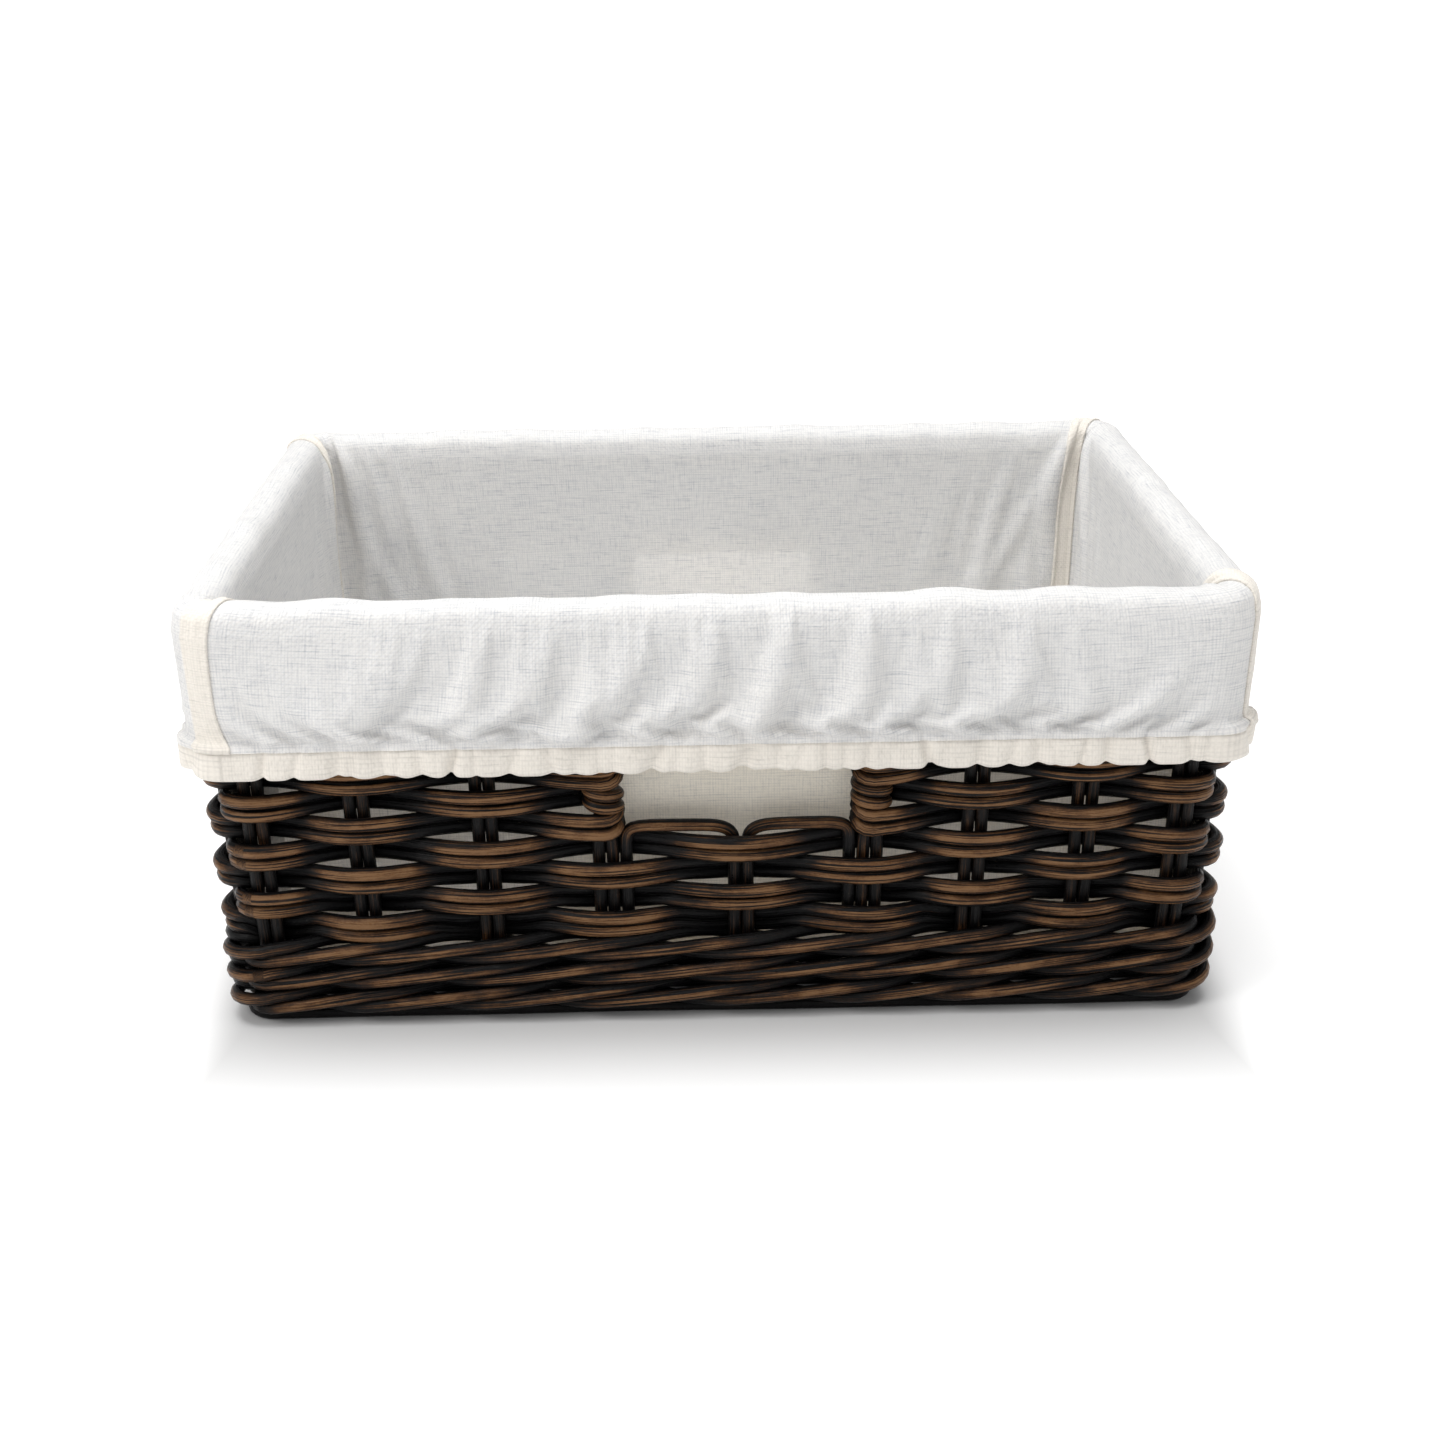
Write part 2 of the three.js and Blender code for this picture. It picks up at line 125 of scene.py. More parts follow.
class Reeds:
    """Collects tubes for one piece. Each has a grain vector along its length and says how worn it is."""

    def __init__(self):
        self.points, self.quads, self.caps = [], [], []
        self.grain, self.worn = [], []
        self.count = 0

    def add(self, path, out, radius, worn, seed, closed=False):
        n = len(path)
        if closed:
            along = unit(np.roll(path, -1, 0) - np.roll(path, 1, 0))
        else:
            along = unit(np.gradient(path, axis=0))
        side = unit(np.cross(along, out))
        front = np.cross(side, along)
        angle = np.arange(SIDES) * 2 * math.pi / SIDES
        c, s = np.cos(angle)[None, :, None], np.sin(angle)[None, :, None]
        r = np.broadcast_to(radius, n)[:, None, None]
        ring = path[:, None] + r * (c * front[:, None] + s * side[:, None])
        length = np.concatenate([[0], np.cumsum(np.linalg.norm(np.diff(path, axis=0), axis=1))])
        grain = np.zeros((n, SIDES, 3))
        grain[:, :, 0] = REED * c[0, :, 0]
        grain[:, :, 1] = REED * s[0, :, 0]
        grain[:, :, 2] = length[:, None] + 517.0 * seed
        facing = np.clip(0.25 + 0.75 * c[0, :, 0], 0, 1)
        i = np.arange(n if closed else n - 1)[:, None] * SIDES
        j = np.arange(SIDES)[None, :]
        k = (j + 1) % SIDES
        following = (i + SIDES) % (n * SIDES)
        quads = np.stack([i + j, i + k, following + k, following + j], -1).reshape(-1, 4)
        self.quads.append(quads + self.count)
        if not closed:
            ends = np.array([np.arange(SIDES)[::-1], (n - 1) * SIDES + np.arange(SIDES)])
            self.caps.append(ends + self.count)
        self.points.append(ring.reshape(-1, 3))
        self.grain.append(grain.reshape(-1, 3))
        self.worn.append((np.broadcast_to(worn, n)[:, None] * facing).ravel())
        self.count += n * SIDES

    def piece(self, name, material, nodes, slot):
        faces = [np.concatenate(self.quads)]
        if self.caps:
            faces.append(np.concatenate(self.caps))
        attributes = {"grain": np.concatenate(self.grain), "worn": np.concatenate(self.worn)}
        obj = new_mesh(name, np.concatenate(self.points), faces, attributes, material)
        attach(obj, "basket")
        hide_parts(*nodes)
        return obj


def wobble(rng, s, period, size, waves=5):
    """A smooth random line that repeats after period."""
    total = np.zeros_like(s)
    for k in rng.integers(2, 14, waves):
        total += np.sin(2 * math.pi * k * s / period + rng.uniform(0, 2 * math.pi)) * rng.uniform(0.4, 1)
    return size * total / math.sqrt(waves)


def smooth_path(control, step=STEP):
    """A curve through control points, with rounded corners, at even steps."""
    p = np.array(control, float)
    for _ in range(3):
        a = 0.75 * p[:-1] + 0.25 * p[1:]
        b = 0.25 * p[:-1] + 0.75 * p[1:]
        p = np.concatenate([p[:1], np.stack([a, b], 1).reshape(-1, 3), p[-1:]])
    s = np.concatenate([[0], np.cumsum(np.linalg.norm(np.diff(p, axis=0), axis=1))])
    even = np.linspace(0, s[-1], max(4, int(s[-1] / step)))
    return np.stack([np.interp(even, s, p[:, k]) for k in range(3)], 1)


# The wall: a rounded rectangle that grows with height. sigma runs anticlockwise from the front left.
RUN_X, RUN_Y, ARC = HALF_WIDTH - CORNER, HALF_DEPTH - CORNER, math.pi / 2 * CORNER
RUNS = np.array([2 * RUN_X, ARC, 2 * RUN_Y, ARC] * 2)
LOOP = RUNS.sum()


def place_on_wall(sigma, a, b):
    """Where a line at sigma has its arc's centre, for corner centres at (a, b), and its outward normal."""
    sigma = np.mod(sigma, LOOP)
    ends = np.cumsum(RUNS)
    k = np.minimum(np.searchsorted(ends, sigma, side="right"), 7)
    t = (sigma - (ends[k] - RUNS[k])) / RUNS[k]
    wall, straight = k // 2, k % 2 == 0
    c = np.where(straight, 2 * t - 1, 1.0)
    x = np.choose(wall, [c * a, a + 0 * c, -c * a, -a + 0 * c])
    y = np.choose(wall, [-b + 0 * c, c * b, b + 0 * c, -c * b])
    phi = -math.pi / 2 + wall * math.pi / 2 + np.where(straight, 0, t * math.pi / 2)
    return np.stack([x, y], -1), np.stack([np.cos(phi), np.sin(phi)], -1)


def wall_path(sigma, z, offset):
    """Points at a height and an offset out of the wall's middle, and their outward normals."""
    z = np.broadcast_to(z, sigma.shape)
    centre, normal = place_on_wall(sigma, RUN_X + LEAN * z, RUN_Y + LEAN * z)
    flat = centre + (CORNER + offset)[:, None] * normal
    return np.column_stack([flat, z]), np.column_stack([normal, np.zeros(len(z))])


STATIONS = np.concatenate([
    FRONT_STAKES + RUN_X,
    RUNS[:2].sum() + SIDE_STAKES + RUN_Y,
    RUNS[:4].sum() + (RUN_X - FRONT_STAKES)[::-1],
    RUNS[:6].sum() + (RUN_Y - SIDE_STAKES)[::-1],
])
COUNT = len(STATIONS)


def between_stations(sigma):
    """The station before each sigma, and the share of the way to the next."""
    s = np.mod(sigma - STATIONS[0], LOOP) + STATIONS[0]
    n = np.clip(np.searchsorted(STATIONS, s, side="right") - 1, 0, COUNT - 1)
    following = np.append(STATIONS, STATIONS[0] + LOOP)
    return n, (s - STATIONS[n]) / (following[n + 1] - STATIONS[n])


def weave_offset(sigma, row, swing):
    n, t = between_stations(sigma)
    sign = np.where((n + row) % 2, 1.0, -1.0)
    share = (1 + np.cos(math.pi * t)) / 2
    return sign * swing[n] * share - sign * swing[(n + 1) % COUNT] * (1 - share)


def worn_at(offset):
    return ease((offset / WEAVE + 0.60) / 1.40)


def add_weavers(reeds, row, start, end, seed, closed):
    """Both reeds of a row from one sigma to another."""
    rng = np.random.default_rng(seed)
    swing = WEAVE + rng.uniform(-0.6, 0.5, COUNT)
    count = int((end - start) / STEP)
    sigma = np.linspace(start, end, count, endpoint=not closed)
    shared = wobble(rng, sigma, LOOP, 0.42)
    for k, lift in enumerate((-1, 1)):
        offset = weave_offset(sigma, row, swing) + wobble(rng, sigma, LOOP, 0.25)
        full = ease(np.abs(offset) / WEAVE * 1.15)
        z = row_middle(row) + lift * (SPLIT + 0.22 * full) + shared + wobble(rng, sigma, LOOP, 0.16, 9)
        z = z - (2.6 * ease((3 - row) / 2) + 1.1 * (row == 0)) * ease(-offset / WEAVE)
        offset = offset + 0.35 * lift * full
        if not closed:
            sigma_k, offset, z = post_turns(sigma, offset, z, row)
        else:
            sigma_k = sigma
        path, out = wall_path(sigma_k, z, offset)
        radius = REED * rng.uniform(1.0, 1.05) + 0.2 * ease(np.abs(offset) / WEAVE * 1.15)
        radius = radius + wobble(rng, sigma_k, LOOP, 0.07)
        reeds.add(path, out, radius, worn_at(offset), seed * 2 + k, closed)


TURN_X, TURN_Y = 6.1, 6.4  # the turn round a post, along the wall and through it


def post_turns(sigma, offset, z, row):
    """A row in front of the posts turns round each and ends behind it. The others end against the wraps."""
    if row % 2:
        return sigma, offset, z
    phi = np.linspace(math.pi / 2, -math.pi / 2, 9)
    turn_s, turn_o = TURN_X * np.cos(phi), TURN_Y * np.sin(phi)
    rise = 2.6 * (1 - np.sin(phi))
    inside = slice(2, -2)
    first = (sigma[0] - turn_s[::-1], turn_o[::-1], z[0] + rise[::-1])
    last = (sigma[-1] + turn_s, turn_o, z[-1] + rise)
    parts = zip(first, (sigma[inside], offset[inside], z[inside]), last)
    return tuple(np.concatenate(p) for p in parts)


def weaver_rows(material):
    for row in range(ROWS):
        node = f"weaver_row_{row + 1:02d}"
        if row not in HOLE_ROWS:
            reeds = Reeds()
            add_weavers(reeds, row, 0, LOOP, 10 + row, True)
            reeds.piece(f"reeds_{node}", material, [node], "rattan")
            continue
        clear = 8.5 if row % 2 else 0.0
        halves = {"left": (21, 3 + COUNT), "right": (5, 19)}
        for k, (side, (a, b)) in enumerate(halves.items()):
            start, end = STATIONS[a], STATIONS[b % COUNT] + LOOP * (b >= COUNT)
            reeds = Reeds()
            add_weavers(reeds, row, start + clear, end - clear, 40 + 2 * row + k, False)
            reeds.piece(f"reeds_{node}_{side}", material, [f"{node}_{side}"], "rattan")


def post_wraps(material):
    """Full turns of a single reed close the gaps between the rows that turn round a post."""
    for wall, stations in (("front", (3, 5)), ("back", (21, 19))):
        for side, n in zip(("left", "right"), stations):
            reeds = Reeds()
            for k, row in enumerate((5, 7)):
                turns = np.linspace(0, 2, 50)
                phi = 2 * math.pi * turns - math.pi / 2
                sigma = STATIONS[n] + TURN_X * np.cos(phi)
                z = row_middle(row) - ROW_PITCH / 2 + 0.2 + 5.6 * turns
                offset = TURN_Y * np.sin(phi)
                path, _ = wall_path(sigma, z, offset)
                middle, _ = wall_path(STATIONS[n] + 0 * sigma, z, 0 * sigma)
                outward = unit((path - middle) * [1, 1, 0])
                worn = 0.9 * ease((offset + 5) / 8)
                reeds.add(path, outward, REED * 0.98, worn, 90 + 4 * n + k)
            name = f"handle_post_wrap_{wall}_{side}"
            reeds.piece(f"reed_{name}", material, [name], "rattan")


def cross_x(i, z):
    return FRONT_STAKES[i] * (HALF_WIDTH + LEAN * z) / HALF_WIDTH


def stake_reeds(upright, run, tops, seed):
    """A pair of reeds up one wall, under the base and up the other. upright(side, z, shift) is a point."""
    reeds = Reeds()
    rng = np.random.default_rng(seed)
    for k, shift in enumerate((-SPLIT, SPLIT)):
        column = [np.array(upright(-1, z, shift)) for z in np.arange(tops, run + 10, -12)]
        other = [np.array(upright(1, z, shift)) for z in np.arange(tops, run + 10, -12)][::-1]
        low = [upright(-1, run + 4, shift), upright(-1, run, shift)]
        high = [upright(1, run, shift), upright(1, run + 4, shift)]
        ends = np.array([low[1], high[0]])
        inner = [ends[0] + f * (ends[1] - ends[0]) for f in np.linspace(0.03, 0.97, 12)]
        path = smooth_path([*column, *low, *inner, *high, *other])
        s = np.arange(len(path)) * STEP
        path += wobble(rng, s, 700, 0.22)[:, None] * unit(np.array(upright(1, 0, 1)) - upright(1, 0, 0))
        across = ends[1] - ends[0]
        outward = unit(np.sign(path @ across)[:, None] * across[None])
        low_part = path[:, 2] < run + 5
        outward[low_part] = unit(outward[low_part] * 0.05 + [0, 0, -1])
        worn = 0.50 + wobble(rng, s, 700, 0.1)
        reeds.add(path, outward, REED * rng.uniform(0.97, 1.0), worn, seed * 2 + k)
    return reeds


def stakes(material):
    for i in range(len(FRONT_STAKES)):
        def upright(side, z, shift, i=i):
            squeeze = 1.0
            if i in POSTS:
                squeeze = 1 - 0.45 * ease((z - 80) / 8) * ease((140 - z) / 8)
            return (cross_x(i, z) + shift * squeeze, side * (HALF_DEPTH + LEAN * z), z)

        top = 80.0 if i == MIDDLE_STAKE else STAKE_TOP
        name = f"cross_stake_{i + 1:02d}"
        reeds = stake_reeds(upright, CROSS_RUN, top, 200 + i)
        reeds.piece(f"reeds_{name}", material, [name], "dark_rattan")
    for j in range(len(SIDE_STAKES)):
        def upright(side, z, shift, j=j):
            y = SIDE_STAKES[j] * (HALF_DEPTH + LEAN * z) / HALF_DEPTH
            return (side * (HALF_WIDTH + LEAN * z), y + shift, z)

        name = f"side_stake_{j + 1:02d}"
        reeds = stake_reeds(upright, SIDE_RUN, STAKE_TOP, 240 + j)
        reeds.piece(f"reeds_{name}", material, [name], "dark_rattan")


def wale_rows(material):
    """Each row is three strands that pass in front of two stakes and behind one. They join into one reed
    that goes round three times."""
    for k, name in enumerate(("lower", "middle", "upper")):
        rng = np.random.default_rng(300 + k)
        sigma = np.linspace(0, 3 * LOOP, int(3 * LOOP / STEP), endpoint=False)
        n, t = between_stations(sigma)
        lap = np.floor((sigma - STATIONS[0]) / LOOP).astype(int)
        phase = (n + COUNT * lap + k) % 3
        swing = 6.4
        offset = np.choose(phase, [
            swing + 0.8 * np.sin(math.pi * t), swing * np.cos(math.pi * t), -swing * np.cos(math.pi * t),
        ])
        shown = np.choose(phase, [t + 0.5, t + 1.5, t - 0.5])  # from 0 to 2 along the part outside the wall
        slope = np.sin(0.475 * math.pi * (shown - 1))
        hidden = np.where(phase == 1, np.cos(math.pi * (t - 0.5)), -np.cos(math.pi * (0.5 - t)))
        rise = 4.0 * np.where((shown >= 0) & (shown <= 2), slope, hidden)
        offset = offset + wobble(rng, sigma, 3 * LOOP, 0.2)
        z = FIRST_WALE + ROW_PITCH * k + rise + wobble(rng, sigma, 3 * LOOP, 0.2)
        path, out = wall_path(sigma, z, offset)
        reeds = Reeds()
        radius = REED * 1.02 + wobble(rng, sigma, 3 * LOOP, 0.07)
        worn = 0.95 * np.sin(math.pi / 2 * np.clip(shown, 0, 2)) ** 1.1
        reeds.add(path, out, radius, worn, 300 + k, True)
        reeds.piece(f"reeds_wale_{name}", material, [f"wale_{name}"], "rattan")


def borders(material):
    """The rim is a rope of four reeds. The foot is two reeds side by side."""
    sigma = np.linspace(0, LOOP, int(LOOP / STEP), endpoint=False)
    rim = Reeds()
    for k in range(4):
        phi = 2 * math.pi * (32 * sigma / LOOP + k / 4)
        offset = 5.0 * np.cos(phi)
        path, out = wall_path(sigma, RIM_MIDDLE + 3.2 * np.sin(phi), offset)
        outward = unit(out * np.cos(phi)[:, None] + np.array([0, 0, 1]) * np.sin(phi)[:, None] + 0.2 * out)
        rim.add(path, outward, 2.9, 0.7 * ease(np.cos(phi) + 0.8), 400 + k, True)
    rim.piece("reeds_rim_border", material, ["rim_border"], "rattan")
    foot = Reeds()
    rng = np.random.default_rng(410)
    for k, line in enumerate((-5.6, 0.0)):
        z = 2.75 + np.abs(wobble(rng, sigma, LOOP, 0.15))
        path, out = wall_path(sigma, z, line + wobble(rng, sigma, LOOP, 0.5))
        foot.add(path, out, 2.66, 0.12, 410 + k, True)
    foot.piece("reeds_base_foot_ring", material, ["base_foot_ring"], "dark_rattan")


def arches(material):
    """Each reed of the middle stake bends over the lower edge of the hand hole and down beside a post."""
    top = row_middle(HOLE_ROWS[0]) - 5.55 + 0.3 + REED
    for wall, y_sign in (("front", -1), ("back", 1)):
        for side, post in (("left", 3), ("right", 5)):
            inwards = 1 if side == "left" else -1
            by_post = [  # distance from the post towards the middle stake, and height
                (8.6, 48), (8.6, 64), (8.75, top - 12), (8.75, top - 6.5), (9.6, top - 1.4),
                (14.5, top + 0.1), (24, top + 0.3),
            ]
            by_middle = [  # the same from the middle stake towards the post
                (14, top + 0.1), (8, top - 0.7), (4.2, top - 2.8), (2.95, top - 6), (2.86, top - 11),
            ]
            flat = [(cross_x(post, z) + inwards * d, z) for d, z in by_post]
            flat += [(cross_x(MIDDLE_STAKE, z) - inwards * d, z) for d, z in by_middle]
            control = [(x, y_sign * (HALF_DEPTH + LEAN * z), z) for x, z in flat]
            path = smooth_path(control, 1.4)
            out = np.tile([0.0, y_sign, 0.0], (len(path), 1))
            reeds = Reeds()
            reeds.add(path, out, REED * 0.98, 0.62 * ease((path[:, 2] - top + 9) / 8) + 0.2, 500 + post)
            name = f"handle_arch_{wall}_{side}"
            reeds.piece(f"reed_{name}", material, [name], "rattan")


def base_mat(material):
    """Reeds laid left to right, woven over and under others that run front to back."""
    low, high = (np.array(c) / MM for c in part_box("base_mat"))
    middle = (low[2] + high[2]) / 2
    reeds = Reeds()
    warp = np.linspace(low[0] + 12, high[0] - 12, 14)
    for k, x in enumerate(warp):
        y = np.linspace(low[1] + 1, high[1] - 1, 30)
        path = np.column_stack([x + 0 * y, y, middle + 0 * y])
        reeds.add(path, np.tile([0, 0, -1.0], (len(y), 1)), 1.2, 0.3, 600 + k)
    pitch = warp[1] - warp[0]
    for k, y in enumerate(np.arange(low[1] + 1.6, high[1] - 1, 3.25)):
        x = np.linspace(low[0] + 0.5, high[0] - 0.5, 84)
        swing = 1.15 * np.cos(math.pi * (x - warp[0]) / pitch + math.pi * k)
        path = np.column_stack([x, y + 0 * x, middle + swing])
        reeds.add(path, np.tile([0, 0, -1.0], (len(x), 1)), 1.6, 0.35, 700 + k)
    reeds.piece("reeds_base_mat", material, ["base_mat"], "rattan")


# Materials.


class Nodes:
    """Short names for building a node tree."""

    def __init__(self, name):
        self.material = bpy.data.materials.new(name)
        self.material.use_nodes = True
        self.tree = self.material.node_tree
        self.tree.nodes.clear()
        self.output = self.tree.nodes.new("ShaderNodeOutputMaterial")

    def node(self, kind, inputs=None, **settings):
        node = self.tree.nodes.new(kind)
        for key, value in settings.items():
            setattr(node, key, value)
        for key, value in (inputs or {}).items():
            if isinstance(value, bpy.types.NodeSocket):
                self.tree.links.new(value, node.inputs[key])
            else:
                node.inputs[key].default_value = value
        return node

    def math(self, operation, a, b=0.0, c=0.0, clamp=False):
        node = self.node("ShaderNodeMath", {0: a, 1: b, 2: c}, operation=operation, use_clamp=clamp)
        return node.outputs[0]

    def attribute(self, name, output="Fac"):
        return self.node("ShaderNodeAttribute", attribute_name=name).outputs[output]

    def scaled(self, vector, scale, shift=(0, 0, 0)):
        node = self.node("ShaderNodeVectorMath", {0: vector, 1: scale, 2: shift}, operation="MULTIPLY_ADD")
        return node.outputs[0]

    def noise(self, vector, detail, roughness):
        inputs = {"Vector": vector, "Scale": 1.0, "Detail": detail, "Roughness": roughness}
        return self.node("ShaderNodeTexNoise", inputs).outputs["Fac"]

    def ramp(self, value, start, end, low, high, **settings):
        """Low at start and high at end, and level beyond them."""
        inputs = {"Value": value, "From Min": start, "From Max": end, "To Min": low, "To Max": high}
        return self.node("ShaderNodeMapRange", inputs, **settings).outputs[0]

    def steps(self, value, stops):
        node = self.node("ShaderNodeValToRGB", {"Fac": value})
        ramp = node.color_ramp
        while len(ramp.elements) < len(stops):
            ramp.elements.new(0.5)
        for element, (at, colour) in zip(ramp.elements, stops):
            element.position = at
            element.color = (*colour, 1) if len(colour) == 3 else colour
        return node.outputs["Color"]

    def mix(self, share, a, b):
        node = self.node("ShaderNodeMix", data_type="RGBA")
        for key, value in ((0, share), (6, a), (7, b)):
            if isinstance(value, bpy.types.NodeSocket):
                self.tree.links.new(value, node.inputs[key])
            else:
                node.inputs[key].default_value = value if key == 0 else (*value, 1)
        return node.outputs[2]

    def bump(self, height, strength, distance, normal=None):
        inputs = {"Height": height, "Strength": strength, "Distance": distance}
        if normal:
            inputs["Normal"] = normal
        return self.node("ShaderNodeBump", inputs).outputs[0]

    def shade(self, shader):
        self.tree.links.new(shader, self.output.inputs["Surface"])
        return self.material


def rattan(name, wear):
    """Stained reed: nearly black, with the stain rubbed back to brown where the weave stands out, and long
    fibres along its length."""
    m = Nodes(name)
    grain = m.attribute("grain", "Vector")
    fibres = m.noise(m.scaled(grain, (1.15, 1.15, 0.016)), 2.0, 0.5)
    grooves = m.steps(fibres, [(0.40, (0, 0, 0)), (0.47, (0.75, 0.75, 0.75)), (0.6, (1, 1, 1))])
    fine = m.noise(m.scaled(grain, (3.4, 3.4, 0.07)), 3.0, 0.75)
    patches = m.noise(m.scaled(grain, (0.10, 0.10, 0.05)), 3.0, 0.65)
    grit = m.noise(m.scaled(grain, (2.6, 2.6, 1.2)), 3.0, 0.7)
    worn = m.math("MULTIPLY", m.attribute("worn"), wear)
    rubbed = m.math("ADD", worn, m.math("MULTIPLY", m.math("SUBTRACT", patches, 0.53), 1.2))
    rubbed = m.math("ADD", rubbed, m.math("MULTIPLY", m.math("SUBTRACT", grooves, 0.84), 0.75))
    rubbed = m.math("ADD", rubbed, m.math("MULTIPLY", m.math("SUBTRACT", fine, 0.5), 1.3))
    rubbed = m.math("ADD", rubbed, m.math("MULTIPLY", m.math("SUBTRACT", grit, 0.5), 0.5), clamp=True)
    colour = m.steps(rubbed, [
        (0.0, (0.0014, 0.0014, 0.0017)), (0.34, (0.0036, 0.0030, 0.0030)), (0.52, (0.019, 0.0096, 0.0052)),
        (0.70, (0.060, 0.0275, 0.0110)), (0.88, (0.120, 0.056, 0.0225)), (1.0, (0.19, 0.100, 0.045)),
    ])
    rough = m.steps(m.noise(m.scaled(grain, (1.4, 1.4, 0.5)), 4.0, 0.7), [
        (0.32, (0.22, 0.22, 0.22)), (0.66, (0.52, 0.52, 0.52)),
    ])
    normal = m.bump(grooves, 0.7, 0.00045)
    normal = m.bump(fine, 0.6, 0.00025, normal)
    normal = m.bump(grit, 0.35, 0.00015, normal)
    shader = m.node("ShaderNodeBsdfPrincipled", {
        "Base Color": colour, "Roughness": rough, "Normal": normal, "Specular IOR Level": 0.16,
    })
    return m.shade(shader.outputs[0])


THREAD = 2.4  # one repeat of the weave's grid, drawn coarser than real threads so that it can be seen
DOT_DEPTH = 0.46
THIN_THREADS = 0.4
OPEN_WEAVE = 0.05  # the share of the thin cloth that is gaps between threads
PAINTED_HOLE_SHADE = (0.94, 0.905, 0.82)  # not in the cloth: it stands for shade behind the front hand hole


def cotton(name, base, dot, glow=None, translucent=0.0):
    """Plain-woven cotton. The cloth attribute holds where a point lies on the flat cut. With glow, light of
    that colour comes through, and the cloth behind the front hand hole gets painted shade, darker and
    warmer."""
    m = Nodes(name)
    flat = m.attribute("cloth", "Vector")
    part = m.node("ShaderNodeSeparateXYZ", {0: flat})
    across, down = part.outputs[0], part.outputs[1]
    slub = m.noise(m.scaled(flat, (0.07, 1.5, 1.0)), 3.0, 0.65)
    slub_down = m.noise(m.scaled(flat, (1.5, 0.10, 1.0)), 3.0, 0.65)
    per_thread = 2 * math.pi / THREAD
    wave_a = m.math("SINE", m.math("MULTIPLY", across, per_thread))
    wave_d = m.math("SINE", m.math("MULTIPLY", down, per_thread))
    weave = m.math("MULTIPLY", wave_a, wave_d)
    gap = m.math("MULTIPLY", m.math("ABSOLUTE", wave_a), m.math("ABSOLUTE", wave_d))
    cloudy = m.noise(m.scaled(flat, (0.03, 0.04, 1.0)), 3.0, 0.55)
    soft = m.noise(m.scaled(flat, (0.5, 0.5, 1.0)), 2.0, 0.5)
    tone = m.math("ADD", m.math("MULTIPLY", slub, 0.5), m.math("MULTIPLY", slub_down, 0.5))
    shade = m.math("MULTIPLY", m.math("SUBTRACT", 1.0, gap), DOT_DEPTH)
    shade = m.math("MULTIPLY", shade, m.steps(soft, [(0.3, (0.5, 0.5, 0.5)), (0.7, (1, 1, 1))]))
    shade = m.math("ADD", shade, m.math("MULTIPLY", m.math("SUBTRACT", tone, 0.49), 1.9))
    thin = m.math("ADD", m.steps(slub, [(0.56, (0, 0, 0)), (0.70, (1, 1, 1))]),
                  m.math("MULTIPLY", m.steps(slub_down, [(0.58, (0, 0, 0)), (0.72, (1, 1, 1))]), 0.6))
    shade = m.math("ADD", shade, m.math("MULTIPLY", thin, THIN_THREADS))
    shade = m.math("ADD", shade, m.math("MULTIPLY", m.math("SUBTRACT", cloudy, 0.5), 0.25), clamp=True)
    colour = m.mix(shade, base, dot)
    if glow:
        # Painted shade: the lower part of the front panel, across the middle of the front wall where it
        # shows through the front hand hole, is painted darker and warmer. The same mask also falls on the
        # right part of the liner floor, whose cloth attribute holds x and y.
        facing = m.math("COSINE", m.math("MULTIPLY", m.math("SUBTRACT", across, RUN_X), 2 * math.pi / LOOP))
        below_hem = m.ramp(down, 128.0, 146.0, 1.0, 0.0)
        hole_shade_mask = m.math("MULTIPLY", m.ramp(facing, 0.93, 0.97, 0.0, 1.0), below_hem)
        tinted = [tuple(c * k for c, k in zip(paint, PAINTED_HOLE_SHADE)) for paint in (base, dot)]
        colour = m.mix(hole_shade_mask, colour, m.mix(shade, *tinted))
    height = m.math("ADD", weave, m.math("MULTIPLY", tone, 2.0))
    normal = m.bump(height, 0.5, 0.00016)
    cloth = m.node("ShaderNodeBsdfPrincipled", {
        "Base Color": colour, "Roughness": 0.92, "Normal": normal, "Specular IOR Level": 0.25,
        "Sheen Weight": 0.25, "Sheen Roughness": 0.5,
    })
    if not translucent:
        return m.shade(cloth.outputs[0])
    through = m.node("ShaderNodeBsdfTranslucent", {"Color": (*glow, 1)})
    both = m.node("ShaderNodeMixShader", {0: translucent, 1: cloth.outputs[0], 2: through.outputs[0]})
    gaps = m.node("ShaderNodeBsdfTransparent")
    whole = m.node("ShaderNodeMixShader", {0: OPEN_WEAVE, 1: both.outputs[0], 2: gaps.outputs[0]})
    return m.shade(whole.outputs[0])


# The liner. Around the basket it is sampled at COLUMNS even steps of sigma.
COLUMNS = 900
AROUND = np.arange(COLUMNS) * LOOP / COLUMNS
WALL_HALF = 9.6
CLOTH = 1.2


def liner_point(sigma, u, z):
    """A point of the liner, whose corners are tighter inside the wall than outside. u is measured from the
    wall's middle surface at floor level."""
    centre_line = 0.4 * u - 10.1
    a, b = HALF_WIDTH + centre_line, HALF_DEPTH + centre_line
    centre, normal = place_on_wall(sigma, a, b)
    flat = centre + (u - centre_line)[..., None] * normal
    return np.concatenate([flat, np.broadcast_to(z, u.shape)[..., None]], -1)


def inner_line(z):
    return LEAN * z - WALL_HALF - CLOTH


def ripple(rng, sigma, v, periods, slants, size):
    """Smooth folds: waves along the loop whose crests lean as v grows."""
    total = np.zeros(np.broadcast(sigma, v).shape)
    for period, slant in zip(periods, slants):
        k = max(1, round(LOOP / period))
        phase = rng.uniform(0, 2 * math.pi)
        bend = 0.9 * wobble(rng, sigma, LOOP, 1.0)
        total = total + np.sin(2 * math.pi * k * (sigma + slant * v) / LOOP + phase + bend)
    return size * total / math.sqrt(len(periods))


HEM_INSIDE = 15.9
HEM_HEIGHT = 13.8


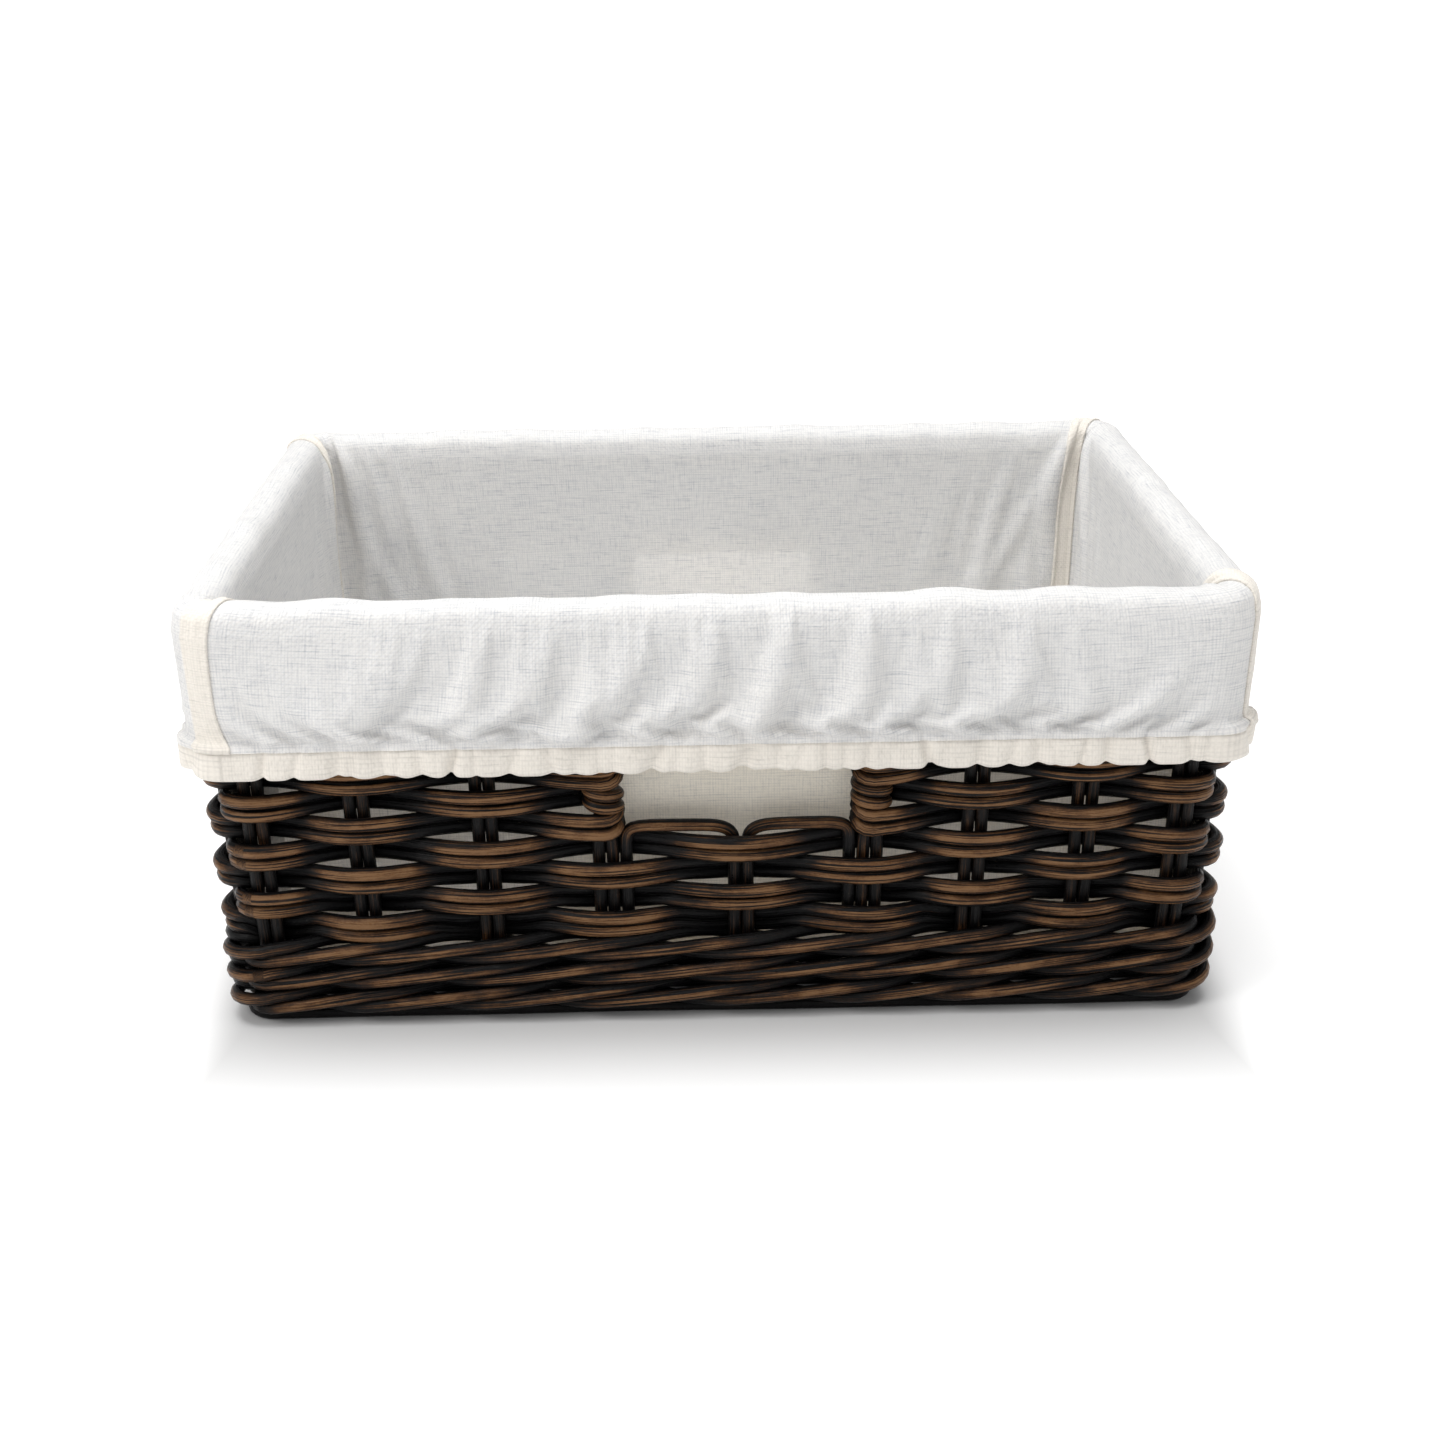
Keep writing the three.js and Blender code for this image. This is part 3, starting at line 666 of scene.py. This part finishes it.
def pinches():
    """Where the elastic pinches the hem: place, depth, half width and slant of each small fold."""
    rng = np.random.default_rng(820)
    spacing = rng.uniform(5.5, 17.0, 200)
    places = np.cumsum(spacing)
    places = places[places < LOOP - 4]
    n = len(places)
    depth = rng.uniform(1.1, 3.1, n) * np.clip(spacing[:n] / 11, 0.6, 1.2)
    return places, depth, rng.uniform(1.5, 3.9, n), rng.uniform(-3.2, 4.4, n)


PINCHES = pinches()


def gathers(sigma, h):
    """The hem's thickness and the rise of its edge. h is 0 at its foot and 1 at its seam."""
    places, depth, wide, slant = PINCHES
    gap = np.mod(sigma[:, None] - places - slant * (h - 0.5) + LOOP / 2, LOOP) - LOOP / 2
    dip = np.minimum((depth * np.exp(-np.abs(gap / wide) ** 1.7)).sum(1), 3.0)
    rise = 0.7 * dip * np.clip(1 - 2.2 * h, -0.35, 1)
    slow = wobble(np.random.default_rng(821), sigma, LOOP, 0.3)
    return 3.8 + slow - dip, rise + 0.6 * slow


def rest_profile():
    """The liner's section as it was sewn: up inside the wall, over the rim and down outside it."""
    corner = [
        (inner_line(LINER_FLOOR), LINER_FLOOR + 0.7), (inner_line(100), 100.0), (inner_line(178), 178.0),
    ]
    top, inside, outside = 191.8, inner_line(184), 18.4
    middle, reach, drop = (inside + outside) / 2, (outside - inside) / 2, 7.5
    turn = [
        (middle - reach * math.cos(a), top - drop + drop * math.sin(a))
        for a in np.linspace(0.15, math.pi - 0.15, 13)
    ]
    skirt = [(19.4, 172.0), (20.0, 163.0), (19.8, 152.0), (19.0, 142.0), (18.4, 134.5), (18.0, 130.8)]
    return np.array(corner + turn + skirt)


def resample(points, step):
    s = np.concatenate([[0], np.cumsum(np.linalg.norm(np.diff(points, axis=0), axis=1))])
    even = np.linspace(0, s[-1], int(round(s[-1] / step)) + 1)
    return np.column_stack([np.interp(even, s, points[:, k]) for k in range(points.shape[1])]), even


def relax_cloth(points, rest_across, rest_down, held, push_out, steps):
    """Position-based relaxation of the sheet: threads keep their length, bends resist, and push_out keeps
    the sheet out of the basket. Rows run down the sheet and columns round it."""
    rows, columns, _ = points.shape
    p = points.reshape(-1, 3).astype(np.float32).copy()
    index = np.arange(rows * columns).reshape(rows, columns)
    free = np.ones(rows * columns, np.float32)
    free[index[held].ravel()] = 0.0
    links = []

    def link(a, b, rest, strength):
        a, b = a.ravel(), b.ravel()
        wa, wb = free[a], free[b]
        total = np.maximum(wa + wb, 1e-6)
        rest = np.broadcast_to(rest, a.shape if np.ndim(rest) < 2 else rest.shape).ravel().astype(np.float32)
        links.append((a, b, rest, (strength * wa / total)[:, None], (strength * wb / total)[:, None]))

    across = np.broadcast_to(rest_across[:, None], (rows, columns))
    down = np.broadcast_to(rest_down[:, None], (rows - 1, columns))
    following = np.roll(index, -1, 1)
    for parity in (0, 1):
        link(index[:, parity::2], following[:, parity::2], across[:, parity::2], 0.9)
        link(index[parity:-1:2], index[parity + 1::2][:len(index[parity:-1:2])], down[parity::2], 0.9)
        slant = np.sqrt(across[:-1] ** 2 + down ** 2)
        link(index[parity:-1:2], following[parity + 1::2][:len(index[parity:-1:2])], slant[parity::2], 0.35)
        link(following[parity:-1:2], index[parity + 1::2][:len(index[parity:-1:2])], slant[parity::2], 0.35)
    for reach, strength in ((2, 0.2), (5, 0.06)):
        ahead = np.roll(index, -reach, 1)
        block = 2 * reach
        for k in (0, reach):
            group = np.concatenate([np.arange(s, columns, block) for s in range(k, k + reach)])
            link(index[:, group], ahead[:, group], reach * across[:, group], strength)
    for k in range(4):
        starts = np.arange(k, rows - 2, 4)
        link(index[starts], index[starts + 2], down[starts] + down[starts + 1], 0.08)
    before = p.copy()
    weight = free[:, None]
    for step in range(steps):
        speed = 0.93 * (p - before) * weight
        before = p.copy()
        p = p + speed
        p[:, 2] -= 0.005 * weight[:, 0]
        for a, b, rest, share_a, share_b in links:
            d = p[b] - p[a]
            length = np.sqrt((d * d).sum(1))
            d *= ((length - rest) / np.maximum(length, 1e-6))[:, None]
            p[a] += share_a * d
            p[b] -= share_b * d
        if step % 2 == 0:
            p = push_out(p.reshape(rows, columns, 3)).reshape(-1, 3)
    return p.reshape(rows, columns, 3).astype(float)


def liner_sheet():
    """The whole wall of the liner as one grid of points, and each point's place on the flat cut."""
    profile, v = resample(rest_profile(), 2.0)
    rng = np.random.default_rng(800)
    shape = (len(profile), COLUMNS)
    sigma = np.broadcast_to(AROUND[None], shape)
    u, z = (np.broadcast_to(profile[:, k, None], shape) for k in (0, 1))
    vv = np.broadcast_to(v[:, None], shape)
    crest = int(np.argmax(profile[:, 1]))
    inner = ease((v[crest] - vv) / 30) * ease((z - LINER_FLOOR) / 20)
    outer = ease((vv - v[crest] - 10) / 22)
    low = ease((vv - v[-1] + 34) / 34)
    folds = ripple(rng, AROUND[None], vv, (95, 61, 43), (0.5, 0.8, -0.3), 1.0) * inner
    folds = folds + ripple(rng, AROUND[None], vv, (27, 19), (0.6, -0.5), 0.3) * inner
    waves = ripple(rng, AROUND[None], vv, (120, 77, 52), (1.5, 1.3, 1.0), 1.6) * outer
    waves = waves + ripple(rng, AROUND[None], vv, (39, 31), (1.5, 0.9), 1.0) * outer
    waves = waves + ripple(rng, AROUND[None], vv, (17, 13, 10.5), (1.0, 0.7, 0.2), 0.8) * outer * low ** 2
    crown = ripple(rng, AROUND[None], 0 * vv, (150, 88, 60, 37), (0, 0, 0, 0), 0.8)
    crown = crown * (1 - outer) * (1 - inner)
    start = liner_point(sigma, u - np.abs(folds) + waves, z + crown)
    out, rise = gathers(AROUND, 0.93)
    start[-1] = liner_point(AROUND, HEM_INSIDE + out + 0.2, HEM_BOTTOM + 0.93 * HEM_HEIGHT + rise)
    out, rise = gathers(AROUND, 1.1)
    start[-2] = liner_point(AROUND, HEM_INSIDE + 0.5 * out + 1.7, HEM_BOTTOM + 1.1 * HEM_HEIGHT + rise)
    flat = np.stack([sigma, vv, 0 * sigma], -1)
    smooth = liner_point(sigma, u, z)
    ring = np.linalg.norm(np.roll(smooth, -1, 1) - smooth, axis=-1).mean(1)
    fullness = 1.005 + 0.024 * ease((v - v[crest] - 5) / 35) + 0.075 * np.exp((v - v[-1]) / 9)
    fullness = fullness + 0.010 * ease((v[crest] - v) / 40)
    held = np.zeros(len(v), bool)
    held[:2] = held[-2:] = True
    down = np.full(len(v) - 1, v[1] - v[0])
    settled = relax_cloth(start, ring * fullness, down, held, keep_clear, RELAX_STEPS)
    # Over the rim the seams stand up at the corners, and the cloth lies unevenly between them.
    near_crest = np.exp(-(((vv - v[crest]) / 13) ** 2))
    corner = [np.mod(AROUND - s + LOOP / 2, LOOP) - LOOP / 2 for s in SEAMS]
    knuckles = sum(size * np.exp(-((c - 5) / 11) ** 2) for size, c in zip((2.1, 0.8, 0.8, 1.2), corner))
    lumps = ripple(np.random.default_rng(805), AROUND[None], 0.3 * vv, (140, 83, 57, 34), (0, 1, 1, 0), 0.75)
    settled[..., 2] += near_crest * (knuckles + np.maximum(lumps, -0.3))
    return settled, flat


RELAX_STEPS = 150


def keep_clear(p):
    """Moves points out of the rim's border and out of the weave on both sides of it."""
    x, y, z = p[..., 0], p[..., 1], p[..., 2]
    dx = np.abs(x) - RUN_X - LEAN * z
    dy = np.abs(y) - RUN_Y - LEAN * z
    corner = (dx > 0) & (dy > 0)
    reach = np.hypot(np.maximum(dx, 0), np.maximum(dy, 0))
    distance = np.where(corner, reach, np.maximum(dx, dy)) - CORNER  # out of the wall's middle
    up = z - RIM_MIDDLE
    radius = np.sqrt((distance / 9.4) ** 2 + (up / 7.2) ** 2)
    grow = np.where((up > -3) & (radius < 1), 1 / np.maximum(radius, 0.3), 1.0)
    outside, inside = np.maximum(distance, WALL_HALF + 0.9), np.minimum(distance, -WALL_HALF - 0.7)
    beside = np.where(distance > 0, outside, inside)
    change = np.where(up > -3, distance * grow, beside) - distance
    nx = np.where(corner, dx / np.maximum(reach, 1e-6), dx > dy) * np.sign(x)
    ny = np.where(corner, dy / np.maximum(reach, 1e-6), dx <= dy) * np.sign(y)
    height = np.where(up > -3, RIM_MIDDLE + up * grow, z)
    return np.stack([x + nx * change, y + ny * change, height], -1).astype(p.dtype)


def grid_faces(rows, columns, closed=False):
    index = np.arange(rows * columns).reshape(rows, columns)
    following = np.roll(index, -1, 1)
    if not closed:
        index, following = index[:, :-1], following[:, :-1]
    return np.stack([index[:-1], following[:-1], following[1:], index[1:]], -1).reshape(-1, 4)


def grid_normals(points):
    across = np.roll(points, -1, 1) - np.roll(points, 1, 1)
    down = np.gradient(points, axis=0)
    return unit(np.cross(down, across))


SEAM_SHIFT = 6.5  # the liner sits turned a little round the basket
SEAMS = np.array([RUNS[:k].sum() + ARC / 2 + SEAM_SHIFT for k in (1, 3, 5, 7)])
BAND_REACH = 5.2


def liner_walls(panel_material, band_material):
    """Four panels that meet under a doubled band at each corner."""
    points, flat = liner_sheet()
    out = grid_normals(points)
    if out[-8, 100, 1] > 0:
        out = -out
    at = [int(round(s * COLUMNS / LOOP)) for s in SEAMS]
    starts = (at[3] - COLUMNS, *at[:3])
    length = np.linalg.norm(np.diff(points, axis=0), axis=-1).sum(0).mean()
    for name, a, b in zip(("front", "right", "back", "left"), starts, at):
        columns = np.arange(a, b + 1) % COLUMNS
        p = points[:, columns]
        f = flat[:, columns].reshape(-1, 3)
        faces = grid_faces(*p.shape[:2])[:, ::-1]
        piece = new_mesh(f"cloth_panel_{name}", p.reshape(-1, 3), faces, {"cloth": f}, panel_material)
        ride_liner(piece, [f"liner_panel_{name}"])
    corners = ("front_right", "back_right", "back_left", "front_left")
    for corner, middle in zip(corners, at):
        corner_band(corner, points, out, middle, band_material)


def corner_band(corner, points, out, middle, material):
    """A doubled band of cloth over a seam, with a hem along both edges."""
    reach = int(round(BAND_REACH / (LOOP / COLUMNS) * 10)) / 10
    t = np.linspace(-1, 1, 15)
    columns = middle + reach * t
    low = np.floor(columns).astype(int)
    share = (columns - low)[None, :, None]
    p = points[:, low % COLUMNS] * (1 - share) + points[:, (low + 1) % COLUMNS] * share
    n = unit(out[:, low % COLUMNS] * (1 - share) + out[:, (low + 1) % COLUMNS] * share)
    lift = 0.75 + 0.35 * np.exp(-((np.abs(t) - 0.82) / 0.13) ** 2)
    lift = lift - 0.25 * np.exp(-((np.abs(t) - 0.62) / 0.07) ** 2)
    over = p + n * lift[None, :, None]
    under = p - n * 0.05
    rows, columns = p.shape[:2]
    ring = np.concatenate([over, under[:, ::-1]], 1)
    count = ring.shape[1]
    faces = [grid_faces(rows, count, True)[:, ::-1]]
    faces.append(np.array([np.arange(count), (rows - 1) * count + np.arange(count)[::-1]]))
    down = np.concatenate([[0], np.cumsum(np.linalg.norm(np.diff(p.mean(1), axis=0), axis=1))])
    wide = np.concatenate([t, t[::-1]]) * BAND_REACH
    cloth = np.stack([np.broadcast_to(wide, (rows, count)), np.broadcast_to(down[:, None], (rows, count)),
                      np.zeros((rows, count))], -1).reshape(-1, 3)
    piece = new_mesh(f"cloth_band_{corner}", ring.reshape(-1, 3), faces, {"cloth": cloth}, material)
    ride_liner(piece, [f"liner_corner_band_{corner}"])


def ride_liner(piece, nodes):
    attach(piece, "liner")
    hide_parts(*nodes)


def liner_hem(material):
    """The casing at the foot of the skirt, drawn into gathers by the elastic inside it."""
    count = 2400
    sigma = np.arange(count) * LOOP / count
    section = [  # shares of the hem's thickness and height
        (0.0, 0.02), (0.35, 0.0), (0.7, 0.02), (0.93, 0.08), (1.0, 0.18), (1.0, 0.3), (0.98, 0.42),
        (0.97, 0.54), (0.98, 0.66), (1.0, 0.78), (0.92, 0.9), (0.7, 0.985), (0.4, 1.0), (0.05, 0.97),
        (0.0, 0.7), (0.0, 0.4),
    ]
    rows = []
    for side, h in section:
        out, rise = gathers(sigma, h)
        rows.append(liner_point(sigma, HEM_INSIDE + side * out, HEM_BOTTOM + h * HEM_HEIGHT + rise))
    ring = np.stack(rows, 1)
    faces = grid_loop(count, len(section))
    cloth = np.stack([
        np.broadcast_to(sigma[:, None], ring.shape[:2]),
        np.broadcast_to(np.cumsum([0.9] * len(section))[None], ring.shape[:2]), np.zeros(ring.shape[:2]),
    ], -1).reshape(-1, 3)
    piece = new_mesh("cloth_hem_casing", ring.reshape(-1, 3), faces, {"cloth": cloth}, material)
    ride_liner(piece, ["liner_hem_casing", "liner_elastic"])


def grid_loop(rows, columns):
    index = np.arange(rows * columns).reshape(rows, columns)
    a, b = np.roll(index, -1, 1), np.roll(index, -1, 0)
    return np.stack([index, a, np.roll(a, -1, 0), b], -1).reshape(-1, 4)


def liner_floor(material):
    low, high = (np.array(c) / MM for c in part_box("liner_floor"))
    x = np.linspace(low[0], high[0], 150)
    y = np.linspace(low[1], high[1], 105)
    gx, gy = np.meshgrid(x, y)
    rng = np.random.default_rng(840)
    total = np.zeros_like(gx)
    for _ in range(9):
        angle, period = rng.uniform(0, math.pi), rng.uniform(45, 130)
        along = gx * math.cos(angle) + gy * math.sin(angle)
        total += np.sin(2 * math.pi * along / period + rng.uniform(0, 6.3))
    edge = np.minimum(np.minimum(gx - low[0], high[0] - gx), np.minimum(gy - low[1], high[1] - gy))
    gz = LINER_FLOOR + 0.9 + (0.5 + 0.25 * total) * ease(edge / 25) * 1.2
    cloth = np.stack([gx, gy, 0 * gx], -1).reshape(-1, 3)
    points = np.stack([gx, gy, gz], -1).reshape(-1, 3)
    piece = new_mesh("cloth_floor", points, grid_faces(*gx.shape), {"cloth": cloth}, material)
    ride_liner(piece, ["liner_floor"])


# Stage, light and camera.
FLOOR_HALF = 60000.0


def stage():
    """A pale floor. It glows away from the basket, so that it looks white without lighting the reeds, and
    its dimmer glow close to the basket is a painted soft shadow round the foot.
    """
    m = Nodes("studio_floor")
    place = m.node("ShaderNodeNewGeometry").outputs["Position"]
    part = m.node("ShaderNodeSeparateXYZ", {0: place})
    beyond = [
        m.math("MAXIMUM", m.math("SUBTRACT", m.math("ABSOLUTE", part.outputs[k]), half * MM), 0.0)
        for k, half in ((0, HALF_WIDTH), (1, HALF_DEPTH))
    ]
    away = m.math("SQRT", m.math("ADD", m.math("POWER", beyond[0], 2.0), m.math("POWER", beyond[1], 2.0)))
    # Painted shadow: the glow is weakest at the basket's edge. It rises over 120 mm in front and behind, but
    # by 32 mm beside its left and right ends.
    near = m.ramp(away, 0.0, 0.12, 0.02, 0.34, interpolation_type="SMOOTHERSTEP")
    far = m.ramp(away, 0.4, 2.5, 0.0, 0.62)
    beside = m.ramp(beyond[0], -0.004, 0.032, 0.0, 0.50, interpolation_type="SMOOTHERSTEP")
    glow = m.math("ADD", m.math("MAXIMUM", near, beside), far)
    shader = m.node("ShaderNodeBsdfPrincipled", {
        "Base Color": (0.66, 0.66, 0.66, 1), "Roughness": 0.9, "Specular IOR Level": 0.1,
        "Emission Color": (1, 1, 1, 1), "Emission Strength": glow,
    })
    material = m.shade(shader.outputs[0])
    corners = FLOOR_HALF * np.array([(-1, -1, 0), (1, -1, 0), (1, 1, 0), (-1, 1, 0)])
    floor = new_mesh("studio_floor", corners, np.array([[0, 1, 2, 3]]), None, material)


def area_light(name, place, target, size, power, colour=(1, 1, 1)):
    data = bpy.data.lights.new(name, "AREA")
    data.shape = "RECTANGLE"
    data.size, data.size_y = size
    data.energy = power
    data.color = colour
    obj = bpy.data.objects.new(name, data)
    bpy.context.scene.collection.objects.link(obj)
    obj.location = place
    obj.rotation_euler = (Vector(target) - Vector(place)).to_track_quat("-Z", "Y").to_euler()


def lights():
    world = bpy.data.worlds.new("studio")
    world.use_nodes = True
    background = world.node_tree.nodes["Background"]
    background.inputs["Color"].default_value = (1, 1, 1, 1)
    background.inputs["Strength"].default_value = 0.42
    bpy.context.scene.world = world
    area_light("key", (-0.95, -0.8, 1.05), (0, 0, 0.1), (0.5, 0.5), 6.6, (1.0, 0.985, 0.97))
    area_light("top", (-0.1, -0.1, 1.8), (0, 0, 0.1), (1.4, 1.4), 32)
    area_light("fill", (1.5, -0.9, 0.6), (0, 0, 0.1), (0.8, 0.8), 0.8)


def camera():
    pitch, yaw, roll = (math.radians(a) for a in (20.54, 1.04, -0.69))
    forward = Vector((math.sin(yaw) * math.cos(pitch), math.cos(yaw) * math.cos(pitch), -math.sin(pitch)))
    right = Vector((math.cos(yaw), -math.sin(yaw), 0))
    up = right.cross(forward)
    x = right * math.cos(roll) + up * math.sin(roll)
    y = up * math.cos(roll) - right * math.sin(roll)
    data = bpy.data.cameras.new("camera")
    data.lens = 53.66
    data.sensor_width = 36
    obj = bpy.data.objects.new("camera", data)
    bpy.context.scene.collection.objects.link(obj)
    matrix = Matrix((x, y, -forward)).transposed().to_4x4()
    matrix.translation = Vector((-13.5, -976.7, 445.4)) * MM
    obj.matrix_world = matrix
    bpy.context.scene.camera = obj
    bpy.context.scene.view_settings.view_transform = "Standard"


rattan_light = rattan("rattan", 1.0)
rattan_dark = rattan("rattan_dark", 0.85)
weaver_rows(rattan_light)
post_wraps(rattan_light)
stakes(rattan_dark)
wale_rows(rattan_light)
borders(rattan_light)
arches(rattan_light)
base_mat(rattan_dark)
panel_cloth = cotton("cotton", (0.90, 0.89, 0.87), (0.52, 0.535, 0.57), (0.82, 0.68, 0.49), 0.15)
band_cloth = cotton("cotton_band", (0.78, 0.735, 0.67), (0.58, 0.55, 0.50))
liner_walls(panel_cloth, band_cloth)
liner_hem(band_cloth)
liner_floor(panel_cloth)
stage()
lights()
camera()
